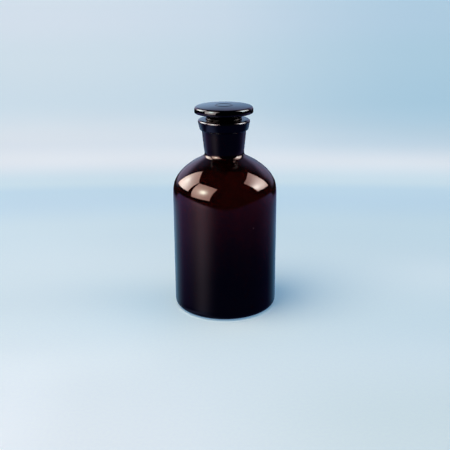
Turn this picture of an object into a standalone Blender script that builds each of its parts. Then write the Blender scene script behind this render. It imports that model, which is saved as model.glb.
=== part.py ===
"""Amber glass reagent bottle with a disc-head ground stopper.

Two separate pieces of glass:
  bottle   foot ring, body, domed shoulder, neck, rim band, and the tapered
           ground socket inside the neck
  stopper  disc head, waist and ground tapered plug

Metres, +Z up. The origin is the centre of the foot plane, and the bottle's
axis is Z. The stopper's origin sits on the axis at the plane of the rim.
Both pieces are half sections turned about the axis. Sections are worked out
in millimetres, as radius r and height z above the foot plane.
"""
import bpy
import bmesh
from math import acos, atan2, ceil, cos, hypot, pi, radians, sin, tan

MM = 0.001

# ---------------------------------------------------------------- body
BODY_R = 43.72           # outside radius at the top of the straight side
HEEL_DRAW = 0.02         # the body is this much narrower in radius at the heel
HEEL_R = BODY_R - HEEL_DRAW
HEEL_FILLET = 5.4        # rounding between the side and the foot
SIDE_TOP_Z = 91.0        # the straight side ends here and the shoulder begins
WALL = 2.8               # wall of the body and the shoulder
FOOT_INNER_R = 31.0      # flat foot ring runs from here to the heel
PUSH_UP = 2.6            # rise of the hollow under the base
PUSH_UP_STEPS = 5
FLOOR_EDGE_Z = 5.0       # inside floor near the wall
FLOOR_MID_Z = 7.2        # inside floor on the axis
FLOOR_DOME_R = FOOT_INNER_R - 6.0   # the floor is flat outside this radius
FLOOR_DOME_STEPS = 4
FLOOR_FILLET = 6.0

# ---------------------------------------------------------------- shoulder
SIDE_REACHES = (20.0, 21.15)   # control points straight above the side's top
DOME_END_R = 24.65       # the shoulder's curve ends here, straight
DOME_END_Z = 127.6
DOME_CLIMB = radians(28.35)    # slope of the dome where the curve ends
DOME_REACHES = (12.3, 1.65)    # control points measured back along that slope
SHOULDER_STEPS = 12

# ---------------------------------------------------------------- neck and rim
NECK_FOOT_R = 16.07      # corner where the shoulder meets the neck
NECK_FOOT_Z = DOME_END_Z + (DOME_END_R - NECK_FOOT_R) * tan(DOME_CLIMB)
NECK_FOOT_FILLET = 4.2
NECK_TOP_R = 18.36       # the neck widens to here, under the rim band
NECK_TOP_Z = 153.1
NECK_TOP_FILLET = 0.5
RIM_LOW_R = 20.05        # lower edge of the rim band
RIM_LOW_Z = 153.9
RIM_LOW_FILLET = 0.9
RIM_R = 21.85            # upper edge of the rim band, its widest place
RIM_Z = 162.2            # flat face of the rim
RIM_FILLET = 1.7

# ---------------------------------------------------------------- ground joint
TAPER = 0.1              # change of diameter over length, as on ground joints
TAPER_SLOPE = TAPER / 2.0      # change of radius over length
SOCKET_R = 14.9          # radius of the ground socket at the rim's plane
MOUTH_FILLET = 0.9       # fire-polished edge of the mouth
THROAT_FILLET = 3.0      # where the socket runs out into the shoulder
JOINT_GAP = 0.3          # between the plug and the socket, measured in radius

# ---------------------------------------------------------------- stopper
PLUG_END_Z = 131.6       # lower end of the plug
PLUG_END_FILLET = 1.2
WAIST_Z = 164.0          # the ground zone ends just above the rim
WAIST_FILLET = 1.6
HEAD_UNDER_R = 17.4      # underside of the head next to the waist
HEAD_UNDER_Z = 166.8
HEAD_UNDER_FILLET = 1.5
HEAD_LOW_FILLET = 0.9    # lower edge of the head's side
HEAD_LOW_DROP = 0.9      # height of the straight run below the bulge
HEAD_R = 24.25           # the side of the head bulges to this radius
HEAD_WIDE_Z = 169.2      # height of its widest place
HEAD_BULGE_R = 9.0       # radius of the bulge, seen from the side
HEAD_SIDE_TOP = radians(11.0)  # the bulge's arc, measured from level
HEAD_SIDE_LOW = radians(-5.0)
HEAD_SIDE_STEPS = 3
HEAD_CREST_FILLET = 2.1  # between the side and the domed top
CROWN_Z = 173.8          # middle of the domed top
CROWN_FALL = 0.98        # the top is this much lower at CROWN_EDGE_R
CROWN_EDGE_R = 22.5
CROWN_STATIONS = (12.5, 17.0)  # radii of the points between ring and crest
RING_R = 7.0             # plain raised ring on the top of the head
RING_W = 0.9             # width of its top
RING_H = 0.22            # its height, and the width of each sloping flank

# ---------------------------------------------------------------- mesh detail
SEGMENTS = 64            # around the axis, the same on both pieces so that
                         # plug and socket facets stay parallel
ARC_STEP = radians(16.0)       # widest turn of one facet of a fillet
SHARP = radians(32.0)          # edges bent more than this are shaded sharp
MERGE_DISTANCE = 0.02
STRAIGHT = 1e-4          # a corner this near to straight gets no fillet


# ---------------------------------------------------------------- section tools
def between(start, end, share):
    """The point at a share of the way from start to end."""
    return tuple(a + (b - a) * share for a, b in zip(start, end))


def direction(start, end):
    """Unit vector from start to end."""
    dr, dz = end[0] - start[0], end[1] - start[1]
    length = hypot(dr, dz)
    return dr / length, dz / length


def round_corner(before, corner, after, fillet):
    """Points of the arc that replaces one corner, or the corner itself."""
    back_r, back_z = direction(corner, before)
    on_r, on_z = direction(corner, after)
    half = acos(max(-1.0, min(1.0, back_r * on_r + back_z * on_z))) / 2.0
    if fillet <= 0.0 or half > pi / 2.0 - STRAIGHT:
        return [corner]
    r, z = corner
    reach = fillet / tan(half)
    mid_r, mid_z = direction((0.0, 0.0), (back_r + on_r, back_z + on_z))
    centre_r = r + mid_r * fillet / sin(half)
    centre_z = z + mid_z * fillet / sin(half)
    start = atan2(z + back_z * reach - centre_z, r + back_r * reach - centre_r)
    end = atan2(z + on_z * reach - centre_z, r + on_r * reach - centre_r)
    turn = (end - start + pi) % (2.0 * pi) - pi
    steps = max(1, ceil(abs(turn) / ARC_STEP))
    angles = [start + turn * k / steps for k in range(steps + 1)]
    return [(centre_r + fillet * cos(a), centre_z + fillet * sin(a)) for a in angles]


def rounded(corners):
    """Polyline through (r, z, fillet) corners with every fillet as an arc."""
    points = [corners[0][:2]]
    for before, corner, after in zip(corners, corners[1:], corners[2:]):
        points += round_corner(before[:2], corner[:2], after[:2], corner[2])
    points.append(corners[-1][:2])
    return points


def unrounded(points):
    """Points as corners without a fillet."""
    return [(r, z, 0.0) for r, z in points]


def dome(edge_r, edge_z, middle_z, steps):
    """Shallow dome from its edge, left out, to the axis; level at both ends."""
    shares = [k / steps for k in range(1, steps + 1)]
    return [(edge_r * (1.0 - t), middle_z + (edge_z - middle_z) * (0.5 + 0.5 * cos(pi * t)))
            for t in shares]


def socket_radius(z):
    return SOCKET_R - (RIM_Z - z) * TAPER_SLOPE


# ---------------------------------------------------------------- bottle section
def shoulder():
    """Outer and inner points of the shoulder, from the side up to the dome.

    The outside is a fifth degree curve with no bend at either end. The inside
    follows it at the wall's thickness.
    """
    controls = [(BODY_R, SIDE_TOP_Z)]
    controls += [(BODY_R, SIDE_TOP_Z + reach) for reach in SIDE_REACHES]
    controls += [(DOME_END_R + cos(DOME_CLIMB) * reach, DOME_END_Z - sin(DOME_CLIMB) * reach)
                 for reach in DOME_REACHES]
    controls.append((DOME_END_R, DOME_END_Z))
    outer, inner = [], []
    for k in range(SHOULDER_STEPS + 1):
        share = k / SHOULDER_STEPS
        points = controls
        # repeated division; the last two points lie on the curve's tangent
        while len(points) > 2:
            points = [between(p, q, share) for p, q in zip(points, points[1:])]
        r, z = between(*points, share)
        along_r, along_z = direction(*points)
        outer.append((r, z))
        inner.append((r - along_z * WALL, z + along_r * WALL))
    return outer, inner


def throat_corner(dome_end):
    """Where the inside of the dome, carried on straight, meets the socket."""
    end_r, end_z = dome_end
    climb = tan(DOME_CLIMB)
    r = (SOCKET_R - TAPER_SLOPE * (RIM_Z - end_z - end_r * climb)) / (1.0 + TAPER_SLOPE * climb)
    return r, end_z + (end_r - r) * climb


def bottle_profile():
    """Half section from the inside floor up, over the rim and down to the base."""
    outer, inner = shoulder()
    side_lean = HEEL_DRAW / SIDE_TOP_Z
    floor_corner_r = HEEL_R - WALL + side_lean * FLOOR_EDGE_Z
    inside = [
        (FLOOR_DOME_R, FLOOR_EDGE_Z, 0.0),
        (floor_corner_r, FLOOR_EDGE_Z, FLOOR_FILLET),
        *unrounded(inner),
        (*throat_corner(inner[-1]), THROAT_FILLET),
        (SOCKET_R, RIM_Z, MOUTH_FILLET),
    ]
    outside = [
        (RIM_R, RIM_Z, RIM_FILLET),
        (RIM_LOW_R, RIM_LOW_Z, RIM_LOW_FILLET),
        (NECK_TOP_R, NECK_TOP_Z, NECK_TOP_FILLET),
        (NECK_FOOT_R, NECK_FOOT_Z, NECK_FOOT_FILLET),
        *unrounded(reversed(outer)),
        (HEEL_R, 0.0, HEEL_FILLET),
        (FOOT_INNER_R, 0.0, 0.0),
    ]
    floor = dome(FLOOR_DOME_R, FLOOR_EDGE_Z, FLOOR_MID_Z, FLOOR_DOME_STEPS)
    under = dome(FOOT_INNER_R, 0.0, PUSH_UP, PUSH_UP_STEPS)
    return floor[::-1] + rounded(inside + outside) + under


# ---------------------------------------------------------------- stopper section
def crown(r):
    """Height of the domed top of the head."""
    return CROWN_Z - CROWN_FALL * (r / CROWN_EDGE_R) ** 2


def crown_points():
    """The domed top with its raised ring, from the axis outwards."""
    ring_in, ring_out = RING_R - RING_W / 2.0, RING_R + RING_W / 2.0
    radius_and_lift = [
        (0.0, 0.0),
        (ring_in - RING_H, 0.0),
        (ring_in, RING_H),
        (ring_out, RING_H),
        (ring_out + RING_H, 0.0),
        *((r, 0.0) for r in CROWN_STATIONS),
    ]
    return [(r, crown(r) + lift) for r, lift in radius_and_lift]


def head_side():
    """The bulging side of the head, from the top down."""
    angles = [HEAD_SIDE_TOP + (HEAD_SIDE_LOW - HEAD_SIDE_TOP) * k / HEAD_SIDE_STEPS
              for k in range(HEAD_SIDE_STEPS + 1)]
    return [(HEAD_R - HEAD_BULGE_R + HEAD_BULGE_R * cos(a), HEAD_WIDE_Z + HEAD_BULGE_R * sin(a))
            for a in angles]


def crest_corner(side_top):
    """Where the straight continuation of the head's side meets the domed top."""
    r, z = side_top
    # each pass closes nearly all of the remaining height
    for _ in range(8):
        rise = crown(r) - z
        r, z = r - rise * tan(HEAD_SIDE_TOP), z + rise
    return r, z


def stopper_profile():
    """Half section from the top of the head down to the end of the plug."""
    side = head_side()
    low_r, low_z = side[-1]
    return rounded([
        *unrounded(crown_points()),
        (*crest_corner(side[0]), HEAD_CREST_FILLET),
        *unrounded(side),
        (low_r + HEAD_LOW_DROP * tan(HEAD_SIDE_LOW), low_z - HEAD_LOW_DROP, HEAD_LOW_FILLET),
        (HEAD_UNDER_R, HEAD_UNDER_Z, HEAD_UNDER_FILLET),
        (socket_radius(WAIST_Z) - JOINT_GAP, WAIST_Z, WAIST_FILLET),
        (socket_radius(PLUG_END_Z) - JOINT_GAP, PLUG_END_Z, PLUG_END_FILLET),
        (0.0, PLUG_END_Z, 0.0),
    ])


# ---------------------------------------------------------------- building
def clear_scene():
    for ob in list(bpy.data.objects):
        bpy.data.objects.remove(ob, do_unlink=True)
    for store in (bpy.data.meshes, bpy.data.materials):
        for item in list(store):
            if item.users == 0:
                store.remove(item)


def glass(name, colour, roughness):
    """Dark, glossy, opaque stand-in for amber glass."""
    mat = bpy.data.materials.new(name)
    mat.use_nodes = True
    bsdf = next(n for n in mat.node_tree.nodes if n.type == "BSDF_PRINCIPLED")
    bsdf.inputs["Base Color"].default_value = (*colour, 1.0)
    bsdf.inputs["Roughness"].default_value = roughness
    bsdf.inputs["Metallic"].default_value = 0.0
    bsdf.inputs["IOR"].default_value = 1.52
    mat.diffuse_color = (*colour, 1.0)
    return mat


def profile_mesh(name, profile, origin_z):
    """The half section as a chain of edges in the XZ plane."""
    mesh = bpy.data.meshes.new(name)
    bm = bmesh.new()
    verts = [bm.verts.new((r * MM, 0.0, (z - origin_z) * MM)) for r, z in profile]
    for start, end in zip(verts, verts[1:]):
        bm.edges.new((start, end))
    bm.to_mesh(mesh)
    bm.free()
    return mesh


def lathe(name, profile, origin_z, mat):
    """Turn a half section about Z into one closed body."""
    section = profile_mesh(name, profile, origin_z)
    ob = bpy.data.objects.new(name, section)
    bpy.context.scene.collection.objects.link(ob)
    ob.location = (0.0, 0.0, origin_z * MM)
    screw = ob.modifiers.new("turn", "SCREW")
    screw.axis = "Z"
    screw.angle = 2.0 * pi
    screw.steps = SEGMENTS
    screw.render_steps = SEGMENTS
    screw.use_merge_vertices = True
    screw.merge_threshold = MERGE_DISTANCE * MM
    screw.use_smooth_shade = True
    # keep the turned mesh and drop the modifier and the bare section
    depsgraph = bpy.context.evaluated_depsgraph_get()
    turned = bpy.data.meshes.new_from_object(ob.evaluated_get(depsgraph))
    ob.modifiers.clear()
    ob.data = turned
    bpy.data.meshes.remove(section)
    turned.name = name
    turned.materials.append(mat)
    turned.shade_smooth()
    turned.set_sharp_from_angle(angle=SHARP)
    return ob


def build_bottle():
    mat = glass("amber_glass_bottle", colour=(0.045, 0.017, 0.012), roughness=0.04)
    return lathe("bottle", bottle_profile(), origin_z=0.0, mat=mat)


def build_stopper():
    mat = glass("amber_glass_stopper", colour=(0.055, 0.026, 0.020), roughness=0.06)
    return lathe("stopper", stopper_profile(), origin_z=RIM_Z, mat=mat)


clear_scene()
bottle = build_bottle()
stopper = build_stopper()
stopper.parent = bottle
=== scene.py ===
# An amber glass bottle with a ground glass stopper, upright on a pale sheet.
# The foot is at z = 0 on the z axis, the camera looks from -y, and +x is to its right.
# Sections are in millimetres, everything else is in metres.
from math import pi, sin, cos, tan, atan2, hypot, acos, ceil, radians

import bpy
import bmesh
import numpy as np
from mathutils import Matrix, Vector


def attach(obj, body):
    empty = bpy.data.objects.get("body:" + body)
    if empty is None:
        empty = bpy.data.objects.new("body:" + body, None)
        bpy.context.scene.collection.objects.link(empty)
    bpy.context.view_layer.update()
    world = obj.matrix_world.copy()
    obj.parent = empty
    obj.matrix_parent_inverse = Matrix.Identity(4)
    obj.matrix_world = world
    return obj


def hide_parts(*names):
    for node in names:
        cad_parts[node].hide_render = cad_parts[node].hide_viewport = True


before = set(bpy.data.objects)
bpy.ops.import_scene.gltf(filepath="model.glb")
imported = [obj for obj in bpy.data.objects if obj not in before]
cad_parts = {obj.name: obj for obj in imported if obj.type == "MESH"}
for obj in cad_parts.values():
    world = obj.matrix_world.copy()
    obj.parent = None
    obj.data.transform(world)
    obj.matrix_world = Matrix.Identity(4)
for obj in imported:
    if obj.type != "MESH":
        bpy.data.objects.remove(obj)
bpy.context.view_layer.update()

MM = 0.001

# ------------------------------------------------------------------ bottle sizes, mm
BODY_R, HEEL_DRAW, HEEL_FILLET = 43.72, 0.02, 5.4
# the shoulder is one smooth curve: it leaves the body at SIDE_TOP_Z and runs into
# the dome's straight end at DOME_END, which climbs at DOME_CLIMB above the level
SIDE_TOP_Z, SHOULDER_REACH_A, SHOULDER_REACH_B = 91.0, 20.0, 21.15
DOME_END_R, DOME_END_Z, DOME_CLIMB = 24.65, 127.6, radians(28.35)
DOME_REACH_A, DOME_REACH_B = 1.65, 12.3
SHOULDER_STEPS = 64
NECK_FOOT_R, NECK_FOOT_FILLET = 16.07, 4.2
NECK_TOP_R, NECK_TOP_Z, NECK_TOP_FILLET = 18.36, 153.1, 0.5
RIM_LOW_R, RIM_LOW_Z, RIM_LOW_FILLET = 20.05, 153.9, 0.9
RIM_R, RIM_Z, RIM_FILLET = 21.85, 162.2, 1.7
WALL = 2.8
FOOT_INNER_R, PUSH_UP = 31.0, 2.6
FLOOR_EDGE_Z, FLOOR_MID_Z, FLOOR_FILLET = 5.0, 7.2, 6.0
FLOOR_DOME_R = FOOT_INNER_R - 6.0
TAPER, SOCKET_R, JOINT_GAP = 0.1, 14.9, 0.3
MOUTH_FILLET, THROAT_FILLET = 0.9, 3.0

# ------------------------------------------------------------------ stopper sizes, mm
PLUG_END_Z, PLUG_CHAMFER = 131.6, 1.2
GROUND_TOP_Z = RIM_Z - 0.6
WAIST_Z, WAIST_FILLET = 164.0, 1.6
HEAD_UNDER_R, HEAD_UNDER_Z, HEAD_UNDER_FILLET = 17.4, 166.8, 1.5
HEAD_LOW_DROP, HEAD_LOW_FILLET = 0.9, 0.9
HEAD_R, HEAD_WIDE_Z, HEAD_SIDE_FILLET = 24.25, 169.2, 9.0
HEAD_SIDE_TOP, HEAD_SIDE_LOW, HEAD_SIDE_STEPS = radians(11.0), radians(-5.0), 14
# the crown has fallen by HEAD_CROWN_FALL at the radius CROWN_FALL_R
HEAD_CREST_FILLET, HEAD_CROWN_Z, HEAD_CROWN_FALL, CROWN_FALL_R = 2.1, 173.8, 0.98, 22.5
CROWN_STATIONS = (8.0, 10.0, 12.0, 14.0, 16.0, 18.0, 19.5)
RING_R, RING_W, RING_H, RING_FILLET = 7.0, 0.9, 0.22, 0.2
CROWN_MID_R = 2.5          # station between the axis and the raised ring

# ------------------------------------------------------------------ lathe settings
ARC_STEP = radians(4.0)
BOTTLE_LONGEST, STOPPER_LONGEST = 3.0, 2.5   # longest straight stretch, mm
BOTTLE_SEGMENTS, STOPPER_SEGMENTS = 220, 224
SEAMS = (0.0, pi)          # the two halves of the blow mould meet at +X and -X
SEAM_STATIONS = (-1.0, -0.75, -0.5, -0.25, 0.25, 0.5, 0.75, 1.0)   # degrees off a seam
SEAM_HEIGHT, SEAM_WIDTH = 0.11, 0.34
# the lean: a sideways step LEAN_STEP over LEAN_RISE of height, then a steady slope
LEAN_STEP, LEAN_RISE, LEAN_SLOPE, LEAN_SLOPE_Z = -0.40, 8.0, 0.0043, 142.0
LEAN_Z, BOTTLE_OUTER_LEAN_Z = 122.0, 129.5
# waves of the glass: size mm, lobes, phase, twist per mm, pitch per mm, pitch phase
OUTER_WAVES = ((0.022, 2, 0.6, 0.045, 0.083, 0.4), (0.014, 5, 1.9, -0.07, 0.151, 1.2))
INNER_WAVES = ((0.16, 2, 2.1, 0.031, 0.061, 0.9), (0.08, 3, 0.3, -0.05, 0.118, 0.0))
INNER_SHRINK = 0.1

# tags: what kind of surface a stretch of the section is
OUT, IN, GROUND, LIP = 0, 1, 2, 3


# ------------------------------------------------------------------ profiles
def unit(r, z):
    length = hypot(r, z)
    return r / length, z / length


def rounded(corners):
    """Polyline through (r, z, fillet, tag) corners, each fillet as a fine arc.
    The tag of a corner belongs to the stretch that leaves it."""
    points = [(corners[0][0], corners[0][1], corners[0][3])]
    for before, (r, z, fillet, tag), after in zip(corners, corners[1:], corners[2:]):
        back_r, back_z = unit(before[0] - r, before[1] - z)
        on_r, on_z = unit(after[0] - r, after[1] - z)
        half = acos(max(-1.0, min(1.0, back_r * on_r + back_z * on_z))) / 2.0
        if fillet <= 0.0 or half > pi / 2.0 - 1e-4:
            points.append((r, z, tag))
            continue
        reach = fillet / tan(half)
        mid_r, mid_z = unit(back_r + on_r, back_z + on_z)
        centre_r = r + mid_r * fillet / sin(half)
        centre_z = z + mid_z * fillet / sin(half)
        start = atan2(z + back_z * reach - centre_z, r + back_r * reach - centre_r)
        end = atan2(z + on_z * reach - centre_z, r + on_r * reach - centre_r)
        sweep = (end - start + pi) % (2.0 * pi) - pi
        count = max(2, int(ceil(abs(sweep) / ARC_STEP)))
        for k in range(count + 1):
            angle = start + sweep * k / count
            points.append((centre_r + fillet * cos(angle), centre_z + fillet * sin(angle),
                           before[3] if k < count / 2 else tag))
    last = corners[-1]
    points.append((last[0], last[1], last[3]))
    return points


def divide(points, longest):
    """Splits long straight stretches, so that small surface waves have points to move."""
    out = [points[0]]
    for a, b in zip(points, points[1:]):
        count = max(1, int(ceil(hypot(b[0] - a[0], b[1] - a[1]) / longest)))
        for k in range(1, count + 1):
            part = k / count
            out.append((a[0] + (b[0] - a[0]) * part, a[1] + (b[1] - a[1]) * part,
                        b[2] if k == count else a[2]))
    return out


def offset_line(start, end, distance):
    along_r, along_z = end[0] - start[0], end[1] - start[1]
    length = hypot(along_r, along_z)
    off_r, off_z = -along_z / length * distance, along_r / length * distance
    return (start[0] + off_r, start[1] + off_z), (end[0] + off_r, end[1] + off_z)


def crossing(line_a, line_b):
    (x1, y1), (x2, y2) = line_a
    (x3, y3), (x4, y4) = line_b
    divisor = (x1 - x2) * (y3 - y4) - (y1 - y2) * (x3 - x4)
    cross_a, cross_b = x1 * y2 - y1 * x2, x3 * y4 - y3 * x4
    return ((cross_a * (x3 - x4) - (x1 - x2) * cross_b) / divisor,
            (cross_a * (y3 - y4) - (y1 - y2) * cross_b) / divisor)


def socket_radius(z):
    return SOCKET_R - (RIM_Z - z) * TAPER / 2.0


def dome(r_from, z_from, z_mid, steps, tag):
    """Stretch from the given edge to the axis, rising as half a cosine wave."""
    points = []
    for k in range(1, steps + 1):
        part = k / steps
        points.append((r_from + (0.0 - r_from) * part,
                       z_mid + (z_from - z_mid) * (0.5 - 0.5 * cos(pi * (1.0 - part))), tag))
    return points


def shoulder_curve():
    """Fifth degree curve with no bend at either end, as (r, z, slope r, slope z)."""
    climb_r, climb_z = cos(DOME_CLIMB), sin(DOME_CLIMB)
    pulls = [(BODY_R, SIDE_TOP_Z)]
    pulls += [(BODY_R, SIDE_TOP_Z + reach) for reach in (SHOULDER_REACH_A, SHOULDER_REACH_B)]
    pulls += [(DOME_END_R + climb_r * reach, DOME_END_Z - climb_z * reach)
              for reach in (DOME_REACH_B, DOME_REACH_A)]
    pulls += [(DOME_END_R, DOME_END_Z)]
    out = []
    for k in range(SHOULDER_STEPS + 1):
        points, part = pulls, k / SHOULDER_STEPS
        while len(points) > 2:
            points = [(a[0] + (b[0] - a[0]) * part, a[1] + (b[1] - a[1]) * part)
                      for a, b in zip(points, points[1:])]
        (r0, z0), (r1, z1) = points
        out.append((r0 + (r1 - r0) * part, z0 + (z1 - z0) * part, *unit(r1 - r0, z1 - z0)))
    return out


def bottle_section():
    """From the middle of the inner floor up the inside, over the rim and down to the foot."""
    heel_r = BODY_R - HEEL_DRAW
    curve = shoulder_curve()
    outer = [(r, z) for r, z, _, _ in curve]
    inner = [(r - slope_z * WALL, z + slope_r * WALL) for r, z, slope_r, slope_z in curve]
    neck_foot = (NECK_FOOT_R, DOME_END_Z + (DOME_END_R - NECK_FOOT_R) * tan(DOME_CLIMB))
    socket = ((socket_radius(RIM_Z), RIM_Z), (socket_radius(100.0), 100.0))
    throat = crossing(offset_line(outer[-1], neck_foot, WALL), socket)
    floor_r = heel_r - WALL + HEEL_DRAW * FLOOR_EDGE_Z / SIDE_TOP_Z
    corners = [(FLOOR_DOME_R, FLOOR_EDGE_Z, 0.0, IN),
               (floor_r, FLOOR_EDGE_Z, FLOOR_FILLET, IN)]
    corners += [(r, z, 0.0, IN) for r, z in inner]
    corners += [(*throat, THROAT_FILLET, GROUND),
                (socket_radius(RIM_Z), RIM_Z, MOUTH_FILLET, LIP),
                (RIM_R, RIM_Z, RIM_FILLET, OUT),
                (RIM_LOW_R, RIM_LOW_Z, RIM_LOW_FILLET, OUT),
                (NECK_TOP_R, NECK_TOP_Z, NECK_TOP_FILLET, OUT),
                (*neck_foot, NECK_FOOT_FILLET, OUT)]
    corners += [(r, z, 0.0, OUT) for r, z in reversed(outer)]
    corners += [(heel_r, 0.0, HEEL_FILLET, OUT), (FOOT_INNER_R, 0.0, 0.0, OUT)]
    line = rounded(corners)
    floor = dome(line[0][0], FLOOR_EDGE_Z, FLOOR_MID_Z, 14, IN)
    under = dome(FOOT_INNER_R, 0.0, PUSH_UP, 16, OUT)
    return divide(list(reversed(floor)) + line + under, BOTTLE_LONGEST)


def crown(r):
    """Height of the domed top of the head."""
    return HEAD_CROWN_Z - HEAD_CROWN_FALL * (r / CROWN_FALL_R) ** 2


def head_side(angle):
    return (HEAD_R - HEAD_SIDE_FILLET + HEAD_SIDE_FILLET * cos(angle),
            HEAD_WIDE_Z + HEAD_SIDE_FILLET * sin(angle))


def stopper_section():
    """From the middle of the crown down the outside to the middle of the plug's end."""
    ring_in, ring_out = RING_R - RING_W / 2.0, RING_R + RING_W / 2.0
    ring_foot_in, ring_foot_out = ring_in - RING_H, ring_out + RING_H
    line = [(0.0, crown(0.0), 0.0, OUT),
            (CROWN_MID_R, crown(CROWN_MID_R), 0.0, OUT),
            (ring_foot_in, crown(ring_foot_in), RING_FILLET, OUT),
            (ring_in, crown(ring_in) + RING_H, RING_FILLET, OUT),
            (ring_out, crown(ring_out) + RING_H, RING_FILLET, OUT),
            (ring_foot_out, crown(ring_foot_out), RING_FILLET, OUT)]
    line += [(r, crown(r), 0.0, OUT) for r in CROWN_STATIONS]
    side = [head_side(HEAD_SIDE_TOP + (HEAD_SIDE_LOW - HEAD_SIDE_TOP) * k / HEAD_SIDE_STEPS)
            for k in range(HEAD_SIDE_STEPS + 1)]
    # where the top of the side, carried on straight, meets the crown
    r, z = side[0]
    for _ in range(8):
        rise = crown(r) - z
        r, z = r - rise * tan(HEAD_SIDE_TOP), z + rise
    line += [(r, z, HEAD_CREST_FILLET, OUT)]
    line += [(r, z, 0.0, OUT) for r, z in side]
    low_r, low_z = side[-1]
    line += [(low_r - HEAD_LOW_DROP * tan(-HEAD_SIDE_LOW), low_z - HEAD_LOW_DROP,
              HEAD_LOW_FILLET, OUT),
             (HEAD_UNDER_R, HEAD_UNDER_Z, HEAD_UNDER_FILLET, OUT),
             (socket_radius(WAIST_Z) - JOINT_GAP, WAIST_Z, WAIST_FILLET, LIP),
             (socket_radius(GROUND_TOP_Z) - JOINT_GAP, GROUND_TOP_Z, 0.0, GROUND),
             (socket_radius(PLUG_END_Z) - JOINT_GAP, PLUG_END_Z, PLUG_CHAMFER, OUT),
             (0.0, PLUG_END_Z, 0.0, OUT)]
    return divide(rounded(line), STOPPER_LONGEST)


# ------------------------------------------------------------------ lathe
def azimuths_of(count, dense_at=()):
    """Even azimuths, with extra ones close to each of dense_at."""
    found = [2.0 * pi * k / count for k in range(count)]
    for middle in dense_at:
        found += [middle + radians(offset) for offset in SEAM_STATIONS]
    found = sorted(angle % (2.0 * pi) for angle in found)
    return [angle for i, angle in enumerate(found)
            if i == 0 or angle - found[i - 1] > radians(0.12)]


def smooth(x, low, high):
    part = np.clip((x - low) / (high - low), 0.0, 1.0)
    return part * part * (3.0 - 2.0 * part)


def lean(z, start):
    """The neck of the blown bottle stands a little off the body's axis, and the
    stopper with it, in millimetres along x. It begins at height start."""
    return (LEAN_STEP * smooth(z, start, start + LEAN_RISE)
            - LEAN_SLOPE * np.maximum(z - LEAN_SLOPE_Z, 0.0))


def add_object(name, data):
    made = bpy.data.objects.new(name, data)
    bpy.context.scene.collection.objects.link(made)
    return made


def lathe(name, section, azimuths, move, outer_lean_z=LEAN_Z):
    """One closed body of revolution, its surface kinds kept as face attributes."""
    count = len(azimuths)
    cosines, sines = np.cos(azimuths), np.sin(azimuths)
    verts, rings = [], []
    for r, z, tag in section:
        lean_z = outer_lean_z if tag == OUT else LEAN_Z
        if r < 1e-6:
            rings.append([len(verts)] * count)
            verts.append((float(lean(z, lean_z)) * MM, 0.0, z * MM))
            continue
        start = len(verts)
        radii, heights = move(np.full(count, r), np.full(count, z), np.asarray(azimuths), tag)
        verts.extend(zip((radii * cosines + lean(heights, lean_z)) * MM,
                         radii * sines * MM, heights * MM))
        rings.append(list(range(start, start + count)))
    faces, kinds = [], []
    for ring, following, point in zip(rings, rings[1:], section):
        for k in range(count):
            n = (k + 1) % count
            quad = [ring[k], ring[n], following[n], following[k]]
            # on the axis two corners fall together, which leaves a triangle
            face = [v for i, v in enumerate(quad) if v != quad[i - 1]]
            if len(face) > 2:
                faces.append(face)
                kinds.append(point[2])
    mesh = bpy.data.meshes.new(name)
    mesh.from_pydata(verts, [], faces)
    bm = bmesh.new()
    bm.from_mesh(mesh)
    bmesh.ops.recalc_face_normals(bm, faces=bm.faces)
    if bm.calc_volume(signed=True) < 0:
        bmesh.ops.reverse_faces(bm, faces=bm.faces)
    bm.to_mesh(mesh)
    bm.free()
    for label, tags in (("inside", (IN, GROUND)), ("ground", (GROUND,)), ("lip", (LIP,))):
        layer = mesh.attributes.new(label, "FLOAT", "FACE")
        layer.data.foreach_set("value", [1.0 if kind in tags else 0.0 for kind in kinds])
    mesh.shade_smooth()
    mesh.set_sharp_from_angle(angle=radians(50.0))
    return add_object(name, mesh)


def waves(table, z, azimuth):
    return sum(size * np.sin(lobes * azimuth + phase + z * twist) * np.sin(z * pitch + shift)
               for size, lobes, phase, twist, pitch, shift in table)


def move_bottle(r, z, azimuth, tag):
    """Uneven blown glass inside and out, and the raised mould seams."""
    body = smooth(z, 3.0, 9.0) * (1.0 - smooth(z, 128.0, 134.0))
    if tag == OUT:
        seam = 0.0
        for middle in SEAMS:
            away = np.abs((azimuth - middle + pi) % (2.0 * pi) - pi) * r
            seam = seam + SEAM_HEIGHT * np.exp(-(away / SEAM_WIDTH) ** 2)
        seam = seam * smooth(z, 1.0, 5.0) * (1.0 - smooth(z, 148.0, 151.0)) * (r > 15.9)
        return r + waves(OUTER_WAVES, z, azimuth) * body + seam, z
    if tag == IN:
        body = body * (r > 17.0)
        return r + waves(INNER_WAVES, z, azimuth) * body - INNER_SHRINK * body, z
    return r, z


def move_stopper(r, z, azimuth, tag):
    """The top of the pressed head is a little uneven."""
    if z[0] > 171.0:
        z = z + 0.02 * np.sin(2 * azimuth + 0.7) * np.minimum(r / 20.0, 1.0) * (r < 21.0)
    return r, z


bottle = lathe("bottle_glass", bottle_section(), azimuths_of(BOTTLE_SEGMENTS, SEAMS),
               move_bottle, outer_lean_z=BOTTLE_OUTER_LEAN_Z)
stopper = lathe("stopper_glass", stopper_section(), azimuths_of(STOPPER_SEGMENTS), move_stopper)


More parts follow.
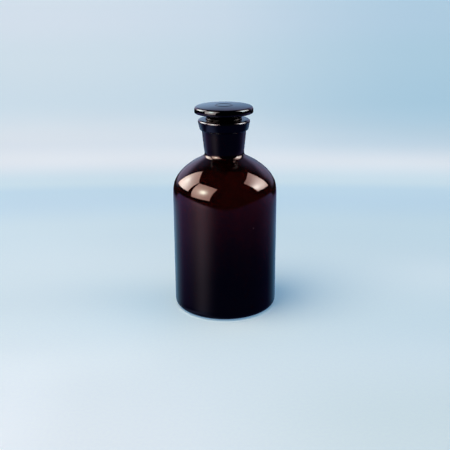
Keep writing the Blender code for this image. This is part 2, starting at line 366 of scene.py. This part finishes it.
# ------------------------------------------------------------------ node helpers
class Graph:
    """Short way to write node graphs. Values may be numbers, colours or sockets."""

    def __init__(self, tree):
        self.tree = tree
        tree.nodes.clear()

    def node(self, kind, inputs=(), **settings):
        made = self.tree.nodes.new(kind)
        for key, value in settings.items():
            setattr(made, key, value)
        for key, value in dict(inputs).items():
            socket = made.inputs[key]
            if hasattr(value, "is_output"):
                self.tree.links.new(value, socket)
            elif isinstance(value, tuple) and len(value) == 3 and socket.type == "RGBA":
                socket.default_value = (*value, 1.0)
            else:
                socket.default_value = value
        return made

    def coordinates(self, kind="Object"):
        return self.node("ShaderNodeTexCoord").outputs[kind]

    def split(self, vector):
        return self.node("ShaderNodeSeparateXYZ", {0: vector}).outputs

    def math(self, operation, first, second=0.0, third=0.0, clamp=False):
        return self.node("ShaderNodeMath", {0: first, 1: second, 2: third},
                         operation=operation, use_clamp=clamp).outputs[0]

    def times(self, product, *factors):
        for factor in factors:
            product = self.math("MULTIPLY", product, factor)
        return product

    def line(self, value, slope, offset):
        return self.math("MULTIPLY_ADD", value, slope, offset)

    def positive(self, value):
        return self.math("MAXIMUM", value, 0.0)

    def decay(self, square):
        """e to the power of -square."""
        return self.math("POWER", 2.718, self.times(square, -1.0))

    def bell(self, distance):
        return self.decay(self.times(distance, distance))

    def ramp(self, value, over, to=(0.0, 1.0), kind="SMOOTHSTEP"):
        """Goes between the two values of to while value goes between those of over."""
        inputs = dict(enumerate((value, *over, *to)))
        return self.node("ShaderNodeMapRange", inputs, interpolation_type=kind,
                         clamp=True).outputs[0]

    def straight(self, value, over, to=(0.0, 1.0)):
        return self.ramp(value, over, to, kind="LINEAR")

    def mix(self, factor, first, second, blend="MIX"):
        return self.node("ShaderNodeMix", {0: factor, 6: first, 7: second}, data_type="RGBA",
                         blend_type=blend, clamp_factor=True).outputs[2]

    def tinted(self, colour, tint):
        return self.mix(1.0, colour, tint, blend="MULTIPLY")

    def tinted_where(self, mask, colour, tint):
        return self.tinted(colour, self.mix(mask, WHITE, tint))

    def vector(self, operation, *values):
        made = self.node("ShaderNodeVectorMath", enumerate(values), operation=operation)
        return made.outputs["Value" if operation in ("LENGTH", "DISTANCE") else "Vector"]

    def scale(self, colour, amount):
        if isinstance(colour, tuple):
            colour = self.rgb(colour)
        return self.node("ShaderNodeVectorMath", {0: colour, 3: amount},
                         operation="SCALE").outputs[0]

    def add(self, first, second):
        return self.vector("ADD", first, second)

    def rgb(self, colour):
        made = self.node("ShaderNodeRGB")
        made.outputs[0].default_value = (*colour, 1.0)
        return made.outputs[0]

    def stretch(self, vector, scale, location=(0.0, 0.0, 0.0)):
        return self.node("ShaderNodeMapping", {0: vector, "Scale": scale,
                                               "Location": location}).outputs[0]

    def noise(self, vector, scale, detail=2.0, rough=0.5, distortion=0.0):
        return self.node("ShaderNodeTexNoise", {
            "Vector": vector, "Scale": scale, "Detail": detail, "Roughness": rough,
            "Distortion": distortion}).outputs[0]

    def bump(self, height, distance, strength, normal=None):
        inputs = {"Strength": strength, "Distance": distance, "Height": height}
        if normal is not None:
            inputs["Normal"] = normal
        return self.node("ShaderNodeBump", inputs).outputs[0]


WHITE = (1.0, 1.0, 1.0)


def new_material(name):
    material = bpy.data.materials.new(name)
    material.use_nodes = True
    return material, Graph(material.node_tree)


def srgb(*levels):
    """sRGB 0-255 to linear."""
    return tuple(v / 255 / 12.92 if v <= 10.31 else ((v / 255 + 0.055) / 1.055) ** 2.4
                 for v in levels)


# ------------------------------------------------------------------ amber glass
SKIN = (0.042, 0.0027, 0.0016)     # tints what passes the outer surface
BULK = (0.12, 0.15, 0.20)          # absorption per millimetre
GLASS_IOR = 1.52
# painted light: the share of the painted warm light left in the glass's colour above the shoulder
NECK_PAINTED_WARM = 0.1                    # what is left of the warm light above the shoulder
PAINTED_REFLECTION_EDGE = 0.0012                # height over which one sheen turns into the next
CLEAR, DUSTY = (0.97, 0.95, 0.93), (0.10, 0.09, 0.085)
MATTE_DARK, MATTE_LIGHT = (0.10, 0.075, 0.068), (0.34, 0.30, 0.29)


def glass_normal(graph, where, smeared, grind, ground, lip):
    """Chill marks, a fine orange peel, the ground joint and the uneven lip."""
    chill = graph.noise(smeared, scale=95.0, detail=3.0, rough=0.55)
    orange = graph.noise(where, scale=420.0)
    normal = graph.bump(chill, distance=0.00006, strength=0.55)
    normal = graph.bump(orange, distance=0.000004, strength=0.5, normal=normal)
    normal = graph.bump(grind, distance=0.00012, strength=graph.times(ground, 0.8),
                        normal=normal)
    return graph.bump(graph.noise(where, scale=900.0, rough=0.6), distance=0.00016,
                      strength=graph.times(lip, 0.8), normal=normal)


def amber_glass(name, seed, painted_reflection_tints):
    """Dark amber glass. seed shifts the smears; the last argument holds the colour of the
    mirror image from each height upwards, a painted reflection tint that brightens or dims the
    highlights."""
    material, graph = new_material(name)
    where = graph.coordinates()
    z = graph.split(where)[2]
    inside, ground, lip = (graph.node("ShaderNodeAttribute", attribute_name=label).outputs["Fac"]
                           for label in ("inside", "ground", "lip"))

    # long soft smears of handling, fine dust, and the grain of the ground joint
    smeared = graph.stretch(where, scale=(1.0, 1.0, 0.35),
                            location=(seed * 0.37, seed * 0.11, seed * 0.73))
    smear = graph.noise(smeared, scale=34.0, detail=4.0, rough=0.6, distortion=0.6)
    smear = graph.ramp(smear, over=(0.52, 0.74))
    dust = graph.node("ShaderNodeTexVoronoi", {"Vector": smeared, "Scale": 260.0}, feature="F1")
    speck = graph.ramp(dust.outputs["Distance"], over=(0.035, 0.075), to=(1.0, 0.0))
    rare = graph.ramp(graph.noise(where, scale=150.0, detail=1.0), over=(0.62, 0.70))
    speck = graph.times(speck, rare)
    grain = graph.noise(where, scale=3800.0, rough=0.7)
    grind = graph.noise(graph.stretch(where, scale=(1.0, 1.0, 9.0)),
                        scale=520.0, detail=3.0, rough=0.7)

    rough = graph.line(smear, slope=0.035, offset=0.012)
    rough = graph.math("ADD", rough, graph.times(speck, 0.35))
    rough = graph.math("ADD", rough, graph.times(lip, 0.06))
    frosted = graph.line(grain, slope=0.25, offset=0.30)
    rough = graph.math("ADD", graph.times(rough, graph.math("SUBTRACT", 1.0, ground)),
                       graph.times(frosted, ground), clamp=True)

    clear = graph.rgb(CLEAR)
    drift = graph.ramp(graph.noise(where, scale=22.0), over=(0.3, 0.7), to=(0.85, 1.15))
    # painted light: the glass's colour is darker by height, towards the foot and on the neck, to
    # paint the warm light that comes down through the shoulder
    painted_warm_light = graph.times(graph.ramp(z, over=(0.022, 0.108), to=(0.05, 1.0)),
                       graph.ramp(z, over=(0.118, 0.127), to=(1.0, NECK_PAINTED_WARM)))
    tint = graph.mix(inside, graph.scale(SKIN, graph.times(drift, painted_warm_light)), clear)
    tint = graph.mix(ground, tint, graph.mix(grain, MATTE_DARK, MATTE_LIGHT))
    outside = graph.math("SUBTRACT", 1.0, inside)
    tint = graph.mix(graph.times(speck, outside), tint, DUSTY)

    # frosted glass and dust let less light through
    see = graph.math("SUBTRACT", 1.0, graph.times(ground, 0.45))
    see = graph.math("SUBTRACT", see, graph.times(speck, 0.5), clamp=True)
    painted_reflection = graph.rgb(WHITE)
    # painted reflection: from each given height upwards the mirror image is tinted, brightened or
    # dimmed
    for height, colour in painted_reflection_tints:
        painted_reflection = graph.mix(graph.ramp(z, over=(height, height + PAINTED_REFLECTION_EDGE)), painted_reflection, colour)
    surface = graph.node("ShaderNodeBsdfPrincipled", {
        "Base Color": tint, "Roughness": rough, "Transmission Weight": see,
        "Specular Tint": painted_reflection, "IOR": GLASS_IOR,
        "Normal": glass_normal(graph, where, smeared, grind, ground, lip)})
    density = max(BULK) / MM
    volume = graph.node("ShaderNodeVolumeAbsorption", {
        "Density": density, "Color": tuple(1.0 - a / MM / density for a in BULK)})
    graph.node("ShaderNodeOutputMaterial", {"Surface": surface.outputs[0],
                                            "Volume": volume.outputs[0]})
    material.diffuse_color = (*SKIN, 1.0)
    return material


# painted reflection: the bottle's mirror image is tinted cooler from 151.5 mm and painted up to
# about twice as bright on the rim from 160 mm; the stopper's is dimmed to under a tenth on the
# waist from 160 mm and painted cooler and brighter on the head from 166.8 mm
bottle.data.materials.append(amber_glass(
    "amber_bottle", seed=1.0, painted_reflection_tints=[(0.1515, (0.80, 0.97, 1.14)), (0.1600, (1.30, 1.65, 1.95))]))
stopper.data.materials.append(amber_glass(
    "amber_stopper", seed=2.7, painted_reflection_tints=[(0.1600, (0.08, 0.08, 0.09)), (0.1668, (0.88, 1.28, 1.50))]))

for piece, name in ((bottle, "bottle"), (stopper, "stopper")):
    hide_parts(name)
    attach(piece, name + "_body")


# ------------------------------------------------------------------ camera
CAM_DISTANCE, CAM_HEIGHT = 0.61164, 0.27444
CAM_PITCH, CAM_ROLL = 0.3221, radians(-0.27)      # pitch below the level
cam_data = bpy.data.cameras.new("camera")
cam_data.sensor_width = 36.0
cam_data.lens = 60.0
cam_data.clip_start = 0.01
cam_data.clip_end = 100.0
camera = add_object("camera", cam_data)
camera.matrix_world = (Matrix.Translation((0.0, -CAM_DISTANCE, CAM_HEIGHT))
                       @ Matrix.Rotation(pi / 2.0 - CAM_PITCH, 4, "X")
                       @ Matrix.Rotation(CAM_ROLL, 4, "Z"))
bpy.context.scene.camera = camera


# ------------------------------------------------------------------ lit panels
PANEL_EYE, PANEL_DISTANCE = Vector((0.0, -0.01, 0.118)), 1.6
# name, corners (azimuth, elevation), base colour,
# glows as (azimuth, elevation), added colour, reach in metres
PANELS = (
    ("panel_left", [(-134, 4.5), (-88.6, 7.8), (-84.6, 46), (-123, 53.6)], (5.2, 3.2, 2.7),
     [((-116, 30), (3.8, 4.5, 4.0), 0.17), ((-112, 19), (7.6, 7.8, 7.2), 0.56)]),
    ("panel_front", [(-78, -2), (-33, -4), (-19.6, 43.5), (-81.4, 45.8)], (4.6, 2.5, 2.1),
     [((-51.5, 21), (15.0, 16.0, 13.0), 0.22), ((-60, 21), (5.4, 4.4, 3.6), 0.66)]),
    ("panel_right", [(77.5, 12), (117, 9.5), (119.6, 53.3), (66, 53.5)], (3.9, 2.2, 1.9),
     [((81, 27), (12.0, 11.5, 10.5), 0.30), ((100, 27), (7.6, 7.3, 6.8), 0.50)]))


def direction(azimuth, elevation):
    """Azimuth 0 is towards the camera, 90 to the right; elevation is above the
    horizon. Both in degrees."""
    a, e = radians(azimuth), radians(elevation)
    return Vector((sin(a) * cos(e), -cos(a) * cos(e), sin(e)))


def softbox(name, corners, base, glows):
    """A flat lit panel whose four corners lie in the given directions from the
    shoulder, with softly brighter spots on it. It is seen only in the glass."""
    rays = [direction(*corner) for corner in corners]
    middle = sum(rays, Vector()).normalized()

    def on_panel(ray):
        return PANEL_EYE + ray * (PANEL_DISTANCE / ray.dot(middle))
    mesh = bpy.data.meshes.new(name)
    mesh.from_pydata([tuple(on_panel(ray)) for ray in rays], [], [(0, 1, 2, 3)])
    panel = add_object(name, mesh)
    material, graph = new_material(name)
    here = graph.coordinates()
    light = graph.rgb(base)
    for towards, colour, reach in glows:
        away = graph.vector("DISTANCE", here, on_panel(direction(*towards)))
        bell = graph.bell(graph.math("DIVIDE", away, reach))
        light = graph.add(light, graph.scale(colour, bell))
    emission = graph.node("ShaderNodeEmission", {"Color": light, "Strength": 1.0})
    graph.node("ShaderNodeOutputMaterial", {"Surface": emission.outputs[0]})
    mesh.materials.append(material)
    panel.visible_camera = False
    panel.visible_diffuse = False
    panel.visible_shadow = False
    panel.visible_volume_scatter = False


for panel_values in PANELS:
    softbox(*panel_values)


# ------------------------------------------------------------------ world
# In these functions azim and elev are a ray's azimuth and elevation in degrees,
# and turned is the azimuth without its sign: 0 towards the camera, 180 behind.
FILL = (0.077, 0.242, 0.380)       # sky colour that lights matt surfaces


def add_backdrop(graph, glow, x, azim, elev, turned):
    """Backdrop behind the bottle; it reaches less high in the middle."""
    behind = graph.ramp(turned, over=(150.0, 176.0))
    top = graph.ramp(elev, over=(graph.line(behind, slope=-10.5, offset=20.0),
                                 graph.line(behind, slope=-12.0, offset=37.0)), to=(1.0, 0.0))
    sunk = graph.times(graph.ramp(graph.times(azim, -1.0), over=(100.0, 130.0)),
                       graph.ramp(turned, over=(150.0, 172.0), to=(1.0, 0.0)))
    rise = graph.ramp(graph.line(sunk, slope=-2.3, offset=elev), over=(-7.0, 4.0))
    back = graph.times(graph.ramp(turned, over=(122.0, 144.0)), graph.times(rise, top))
    # colours from left to right, at the sides and in the middle
    sides = graph.mix(graph.ramp(azim, over=(-30.0, 30.0)), (0.68, 0.55, 0.82), (0.40, 0.36, 0.58))
    middle = graph.mix(graph.ramp(x, over=(-0.10, 0.10)), (0.50, 0.70, 1.00), (0.24, 0.38, 0.62))
    glow = graph.add(glow, graph.scale(graph.mix(behind, sides, middle), back))
    # a dim glow that reaches higher
    high = graph.times(graph.ramp(turned, over=(120.0, 150.0)),
                       graph.ramp(elev, over=(40.0, 60.0), to=(1.0, 0.0)))
    colour = graph.mix(graph.ramp(azim, over=(-30.0, 30.0)),
                       (0.12, 0.09, 0.17), (0.16, 0.11, 0.21))
    amount = graph.times(high, graph.ramp(elev, over=(8.0, 24.0)))
    return graph.add(glow, graph.scale(colour, amount))


def table_glow(graph, azim, elev, turned):
    """The table as the glass reflects it, painted into the surround: unlit in front of the bottle,
    brighter towards both sides and the back.
    """
    facing = graph.positive(graph.math("COSINE", graph.times(azim, pi / 180.0)))
    edge = graph.line(graph.math("POWER", facing, 1.4), slope=-7.5, offset=-8.0)
    edge = graph.math("SUBTRACT", edge, graph.ramp(turned, over=(116.0, 138.0), to=(0.0, 6.0)))
    low = graph.ramp(graph.math("SUBTRACT", elev, edge), over=(1.2, -1.6))
    near = graph.times(graph.ramp(elev, over=(-12.9, -19.0)),
                       graph.straight(elev, over=(-21.5, -28.5), to=(1.0, 0.32)))
    left = graph.times(graph.ramp(graph.times(azim, -1.0), over=(104.0, 161.0)),
                       graph.ramp(turned, over=(150.0, 174.0), to=(1.0, 0.30)))
    right = graph.times(graph.ramp(azim, over=(108.0, 160.0)),
                        graph.ramp(turned, over=(154.0, 176.0), to=(1.0, 0.30)))
    table = graph.add(graph.scale((0.26, 0.53, 0.74), left),
                      graph.scale((0.11, 0.30, 0.48), right))
    table = graph.scale(table, near)
    # violet dusk at the left and the right, then all round
    dusk = graph.times(graph.ramp(graph.times(azim, -1.0), over=(62.0, 90.0)),
                       graph.straight(elev, over=(-15.0, -26.0), to=(1.0, 0.03)),
                       graph.ramp(turned, over=(116.0, 145.0), to=(1.0, 0.05)))
    table = graph.add(table, graph.scale((0.20, 0.13, 0.32), dusk))
    dusk = graph.times(graph.ramp(azim, over=(70.0, 118.0)),
                       graph.straight(elev, over=(-9.0, -22.0), to=(1.0, 0.03)),
                       graph.ramp(turned, over=(118.0, 146.0), to=(1.0, 0.25)))
    table = graph.add(table, graph.scale((0.155, 0.155, 0.32), dusk))
    dusk = graph.straight(elev, over=(-14.0, -21.0), to=(1.0, 0.0))
    table = graph.add(table, graph.scale((0.085, 0.032, 0.075), dusk))
    table = graph.add(table, graph.rgb((0.006, 0.007, 0.062)))
    # a painted bluish patch of light low on the left, seen in the glass
    deep = graph.bell(graph.math("DIVIDE", graph.math("ADD", azim, 78.0), 26.0))
    deep = graph.times(deep, graph.times(graph.ramp(elev, over=(-26.0, -29.5)),
                                         graph.ramp(elev, over=(-38.0, -43.0), to=(1.0, 0.0))))
    table = graph.add(table, graph.scale((0.28, 0.29, 0.52), deep))
    # the pool of light that the front panel leaves on the table
    width = graph.straight(elev, over=(-28.0, -18.0), to=(16.0, 23.0))
    pool = graph.bell(graph.math("DIVIDE", graph.math("ADD", azim, 54.0), width))
    strength = graph.straight(elev, over=(-28.0, -11.0), to=(0.20, 1.0))
    strength = graph.math("POWER", strength, 1.5)
    colour = graph.mix(graph.ramp(elev, over=(-14.0, -24.0)),
                       (1.40, 0.78, 0.92), (1.10, 0.86, 1.05))
    colour = graph.mix(graph.ramp(elev, over=(-24.0, -26.5)), colour, (1.02, 1.05, 1.70))
    table = graph.add(table, graph.scale(colour, graph.times(pool, strength)))
    return graph.scale(table, low)


def pale_surround(graph, x, y, elev):
    """What the camera sees beyond the sheet, with painted light and shade: paler on the left than
    on the right, and lighter in front.
    """
    spread = graph.math("ADD", graph.math("ABSOLUTE", y), 0.04)
    across = graph.ramp(graph.math("DIVIDE", x, spread), over=(-0.30, 0.30), to=(-1.0, 1.0))
    fore = graph.ramp(y, over=(0.06, -0.22))
    middle = graph.mix(fore, srgb(200, 218, 232), srgb(216, 225, 236))
    left = graph.mix(fore, srgb(210, 223, 235), srgb(238, 237, 245))
    pale = graph.mix(graph.positive(graph.times(across, -1.0)), middle, left)
    right = graph.mix(fore, srgb(172, 201, 222), srgb(184, 207, 223))
    pale = graph.mix(graph.positive(across), pale, right)
    return graph.mix(graph.ramp(elev, over=(0.0, 24.0)), pale, srgb(196, 216, 231))


def build_world():
    """One surround each for the glass, the camera and the matt surfaces."""
    world = bpy.data.worlds.new("studio")
    bpy.context.scene.world = world
    world.use_nodes = True
    graph = Graph(world.node_tree)
    path = graph.node("ShaderNodeLightPath").outputs
    x, y, z = graph.split(graph.coordinates("Generated"))
    elev = graph.times(graph.math("ARCSINE", z), 180.0 / pi)
    azim = graph.times(graph.math("ARCTAN2", x, graph.times(y, -1.0)), 180.0 / pi)
    turned = graph.math("ABSOLUTE", azim)
    glow = add_backdrop(graph, graph.rgb((0.010, 0.010, 0.013)), x, azim, elev, turned)
    glow = graph.add(glow, table_glow(graph, azim, elev, turned))
    zenith = graph.times(graph.math("POWER", graph.positive(z), 4.0), 3.0)
    studio, pale, fill = (graph.node("ShaderNodeBackground", {"Color": colour}).outputs[0]
                          for colour in (glow, pale_surround(graph, x, y, elev),
                                         graph.scale(FILL, zenith)))
    seen = graph.node("ShaderNodeMixShader", {0: path["Is Camera Ray"], 1: studio, 2: pale})
    seen = graph.node("ShaderNodeMixShader",
                      {0: path["Is Diffuse Ray"], 1: seen.outputs[0], 2: fill})
    graph.node("ShaderNodeOutputWorld", {"Surface": seen.outputs[0]})


build_world()


# ------------------------------------------------------------------ lights
def big_light(name, azimuth, elevation, strength, colour):
    """A very large soft light, so far away that it is even over the whole floor."""
    data = bpy.data.lights.new(name, "SUN")
    data.angle = radians(42.0)
    data.energy = strength
    data.color = colour
    light = add_object(name, data)
    towards = direction(azimuth, elevation)
    light.location = towards * 3.0
    light.rotation_euler = (-towards).to_track_quat("-Z", "Y").to_euler()
    light.visible_camera = False
    light.visible_glossy = False
    light.visible_transmission = False


big_light("key", azimuth=-66, elevation=66, strength=2.27, colour=(1.0, 0.697, 0.424))
big_light("side", azimuth=97, elevation=60, strength=0.7255, colour=(1.0, 0.5, 0.15))

# ------------------------------------------------------------------ floor
FLOOR_Z, FLOOR_SEGMENTS = -0.00005, 96
FLOOR_RADII = (0.06, 0.15, 0.3, 0.45, 0.7, 1.2, 2.5, 6.0, 14.0)
# sheet tones outwards, painted light and shade with a darker and then a lighter band where a sweep
# would turn up: position r / (r + TONE_HALF_R), sRGB colour
TONE_HALF_R = 0.6
TONES = (
    (0.00, (199, 220, 232)), (0.143, (198, 219, 232)), (0.26, (194, 217, 231)),
    (0.345, (186, 213, 232)), (0.375, (187, 214, 232)), (0.407, (200, 221, 234)),
    (0.469, (219, 228, 238)), (0.531, (207, 221, 233)), (0.651, (192, 214, 229)),
    (0.786, (196, 216, 230)), (0.88, (200, 217, 232)), (0.97, (200, 218, 232)))
# painted soft ovals on the sheet, a painted shadow left of the bottle and a painted patch of light
# far to the right: x, y, reach along x, reach along y, tint
PAINTED_OVALS = ((-0.10, 0.015, 0.075, 0.035, (0.945, 0.96, 0.97)),
         (0.21, 0.052, 0.075, 0.05, (1.10, 1.06, 1.05)))


def floor_mesh():
    mesh = bpy.data.meshes.new("floor")
    bm = bmesh.new()
    centre = bm.verts.new((0, 0, FLOOR_Z))
    inner = None
    for radius in FLOOR_RADII:
        turns = [2 * pi * k / FLOOR_SEGMENTS for k in range(FLOOR_SEGMENTS)]
        ring = [bm.verts.new((radius * cos(a), radius * sin(a), FLOOR_Z)) for a in turns]
        for k in range(FLOOR_SEGMENTS):
            n = (k + 1) % FLOOR_SEGMENTS
            if inner is None:
                bm.faces.new((centre, ring[k], ring[n]))
            else:
                bm.faces.new((inner[k], ring[k], ring[n], inner[n]))
        inner = ring
    bm.to_mesh(mesh)
    bm.free()
    return mesh


def sheet_tones(graph, where, x, y):
    """Tones in long flat ovals round the bottle, so that they run level behind it."""
    r = graph.vector("LENGTH", graph.vector("MULTIPLY", where, (0.35, 1.0, 0.0)))
    part = graph.math("DIVIDE", r, graph.math("ADD", r, TONE_HALF_R))
    tones = graph.node("ShaderNodeValToRGB", {0: part})
    tones.color_ramp.interpolation = "EASE"
    elements = tones.color_ramp.elements
    while len(elements) < len(TONES):
        elements.new(0.5)
    for element, (position, colour) in zip(elements, TONES):
        element.position, element.color = position, (*srgb(*colour), 1.0)
    # painted light and shade: brighter towards the left and darker towards the right, more so far
    # off, except along the painted band where a sweep would turn up
    band = graph.bell(graph.math("DIVIDE", graph.math("SUBTRACT", r, 0.45), 0.14))
    spread = graph.math("ADD", graph.math("ABSOLUTE", y), 0.6)
    across = graph.ramp(graph.math("DIVIDE", x, spread), over=(-0.30, 0.30), to=(-1.0, 1.0))
    far = graph.ramp(r, over=(0.3, 0.9))
    left = graph.mix(far, (1.10, 1.05, 1.03), (1.12, 1.06, 1.03))
    right = graph.mix(far, (0.95, 0.97, 0.98), (0.73, 0.86, 0.92))
    side = graph.mix(graph.positive(graph.times(across, -1.0)), WHITE, left)
    side = graph.mix(graph.positive(across), side, right)
    side = graph.mix(band, side, WHITE)
    # faint clouds near the bottle, and paper fibre
    cloud = graph.ramp(graph.noise(where, scale=2.3), over=(0.3, 0.7), to=(-0.022, 0.022))
    cloud = graph.line(cloud, slope=graph.ramp(r, over=(0.5, 1.3), to=(1.0, 0.0)), offset=1.0)
    fibre = graph.ramp(graph.noise(where, scale=420.0, rough=0.6), over=(0.3, 0.7),
                       to=(0.99, 1.01))
    return graph.scale(graph.tinted(tones.outputs[0], side), graph.times(fibre, cloud))


def painted_light_and_shade(graph, x, y):
    """Painted shade at the front right, painted light at the front left and more at its outer
    corner, and two painted soft ovals.
    """
    # painted shade towards the front right, painted light near the front left
    shade = graph.times(graph.ramp(y, over=(-0.09, -0.20)), graph.ramp(x, over=(-0.05, 0.11)))
    painted_light_front_left = graph.times(graph.ramp(y, over=(0.0, -0.06)),
                            graph.ramp(y, over=(-0.10, -0.16), to=(1.0, 0.0)),
                            graph.ramp(x, over=(-0.02, -0.09)))
    tint = graph.mix(shade, WHITE, (0.89, 0.93, 0.92))
    tint = graph.tinted_where(painted_light_front_left, tint, (1.05, 1.04, 1.035))
    # more painted light at the far front-left corner
    corner = graph.times(graph.ramp(x, over=(-0.09, -0.15)), graph.ramp(y, over=(-0.08, -0.14)))
    tint = graph.tinted_where(corner, tint, (1.06, 1.05, 1.05))
    for spot_x, spot_y, wide, deep, colour in PAINTED_OVALS:
        a = graph.math("DIVIDE", graph.math("SUBTRACT", x, spot_x), wide)
        b = graph.math("DIVIDE", graph.math("SUBTRACT", y, spot_y), deep)
        painted_oval = graph.decay(graph.math("ADD", graph.times(a, a), graph.times(b, b)))
        tint = graph.tinted_where(painted_oval, tint, colour)
    return tint


def pale_sheet():
    """A pale sheet with painted light and shade: painted lighter in front, with a painted band
    where a sweep would turn up.
    """
    material, graph = new_material("pale_sheet")
    where = graph.coordinates()
    x, y, _ = graph.split(where)
    # painted light: the sheet's tones are made lighter towards the front
    painted_front_light = graph.vector("MULTIPLY", sheet_tones(graph, where, x, y),
                        graph.mix(graph.ramp(y, over=(-0.03, -0.24)), WHITE, (1.26, 1.11, 1.06)))
    sheet = graph.tinted(painted_front_light, painted_light_and_shade(graph, x, y))
    # painted light: the sheet glows a little just in front of the foot, lightening the contact
    # shade there
    away = graph.vector("LENGTH", graph.vector("MULTIPLY", where, (1.0, 1.0, 0.0)))
    foot = graph.ramp(away, over=(0.0425, 0.0465), to=(1.0, 0.0))
    fore = graph.ramp(graph.math("DIVIDE", y, graph.math("MAXIMUM", away, 0.001)),
                      over=(-0.10, -0.70))
    painted_foot_glow = graph.scale((0.42, 0.50, 0.55), graph.times(foot, fore, 0.26))
    # painted light: part of the blue ambient light is painted into the sheet as a glow that no
    # shadow darkens
    even = graph.tinted(sheet, (0.063, 0.198, 0.310))
    matt = graph.node("ShaderNodeBsdfDiffuse", {"Color": sheet})
    lit = graph.node("ShaderNodeEmission", {"Color": graph.add(painted_foot_glow, even), "Strength": 1.0})
    both = graph.node("ShaderNodeAddShader", {0: matt.outputs[0], 1: lit.outputs[0]})
    graph.node("ShaderNodeOutputMaterial", {"Surface": both.outputs[0]})
    return material


floor = add_object("floor", floor_mesh())
floor.data.materials.append(pale_sheet())
# the glass reflects the painted table of the surround instead of the sheet
floor.visible_glossy = False

view = bpy.context.scene.view_settings
view.view_transform = "Standard"
view.look = "None"
view.exposure = 0.0
view.gamma = 1.0
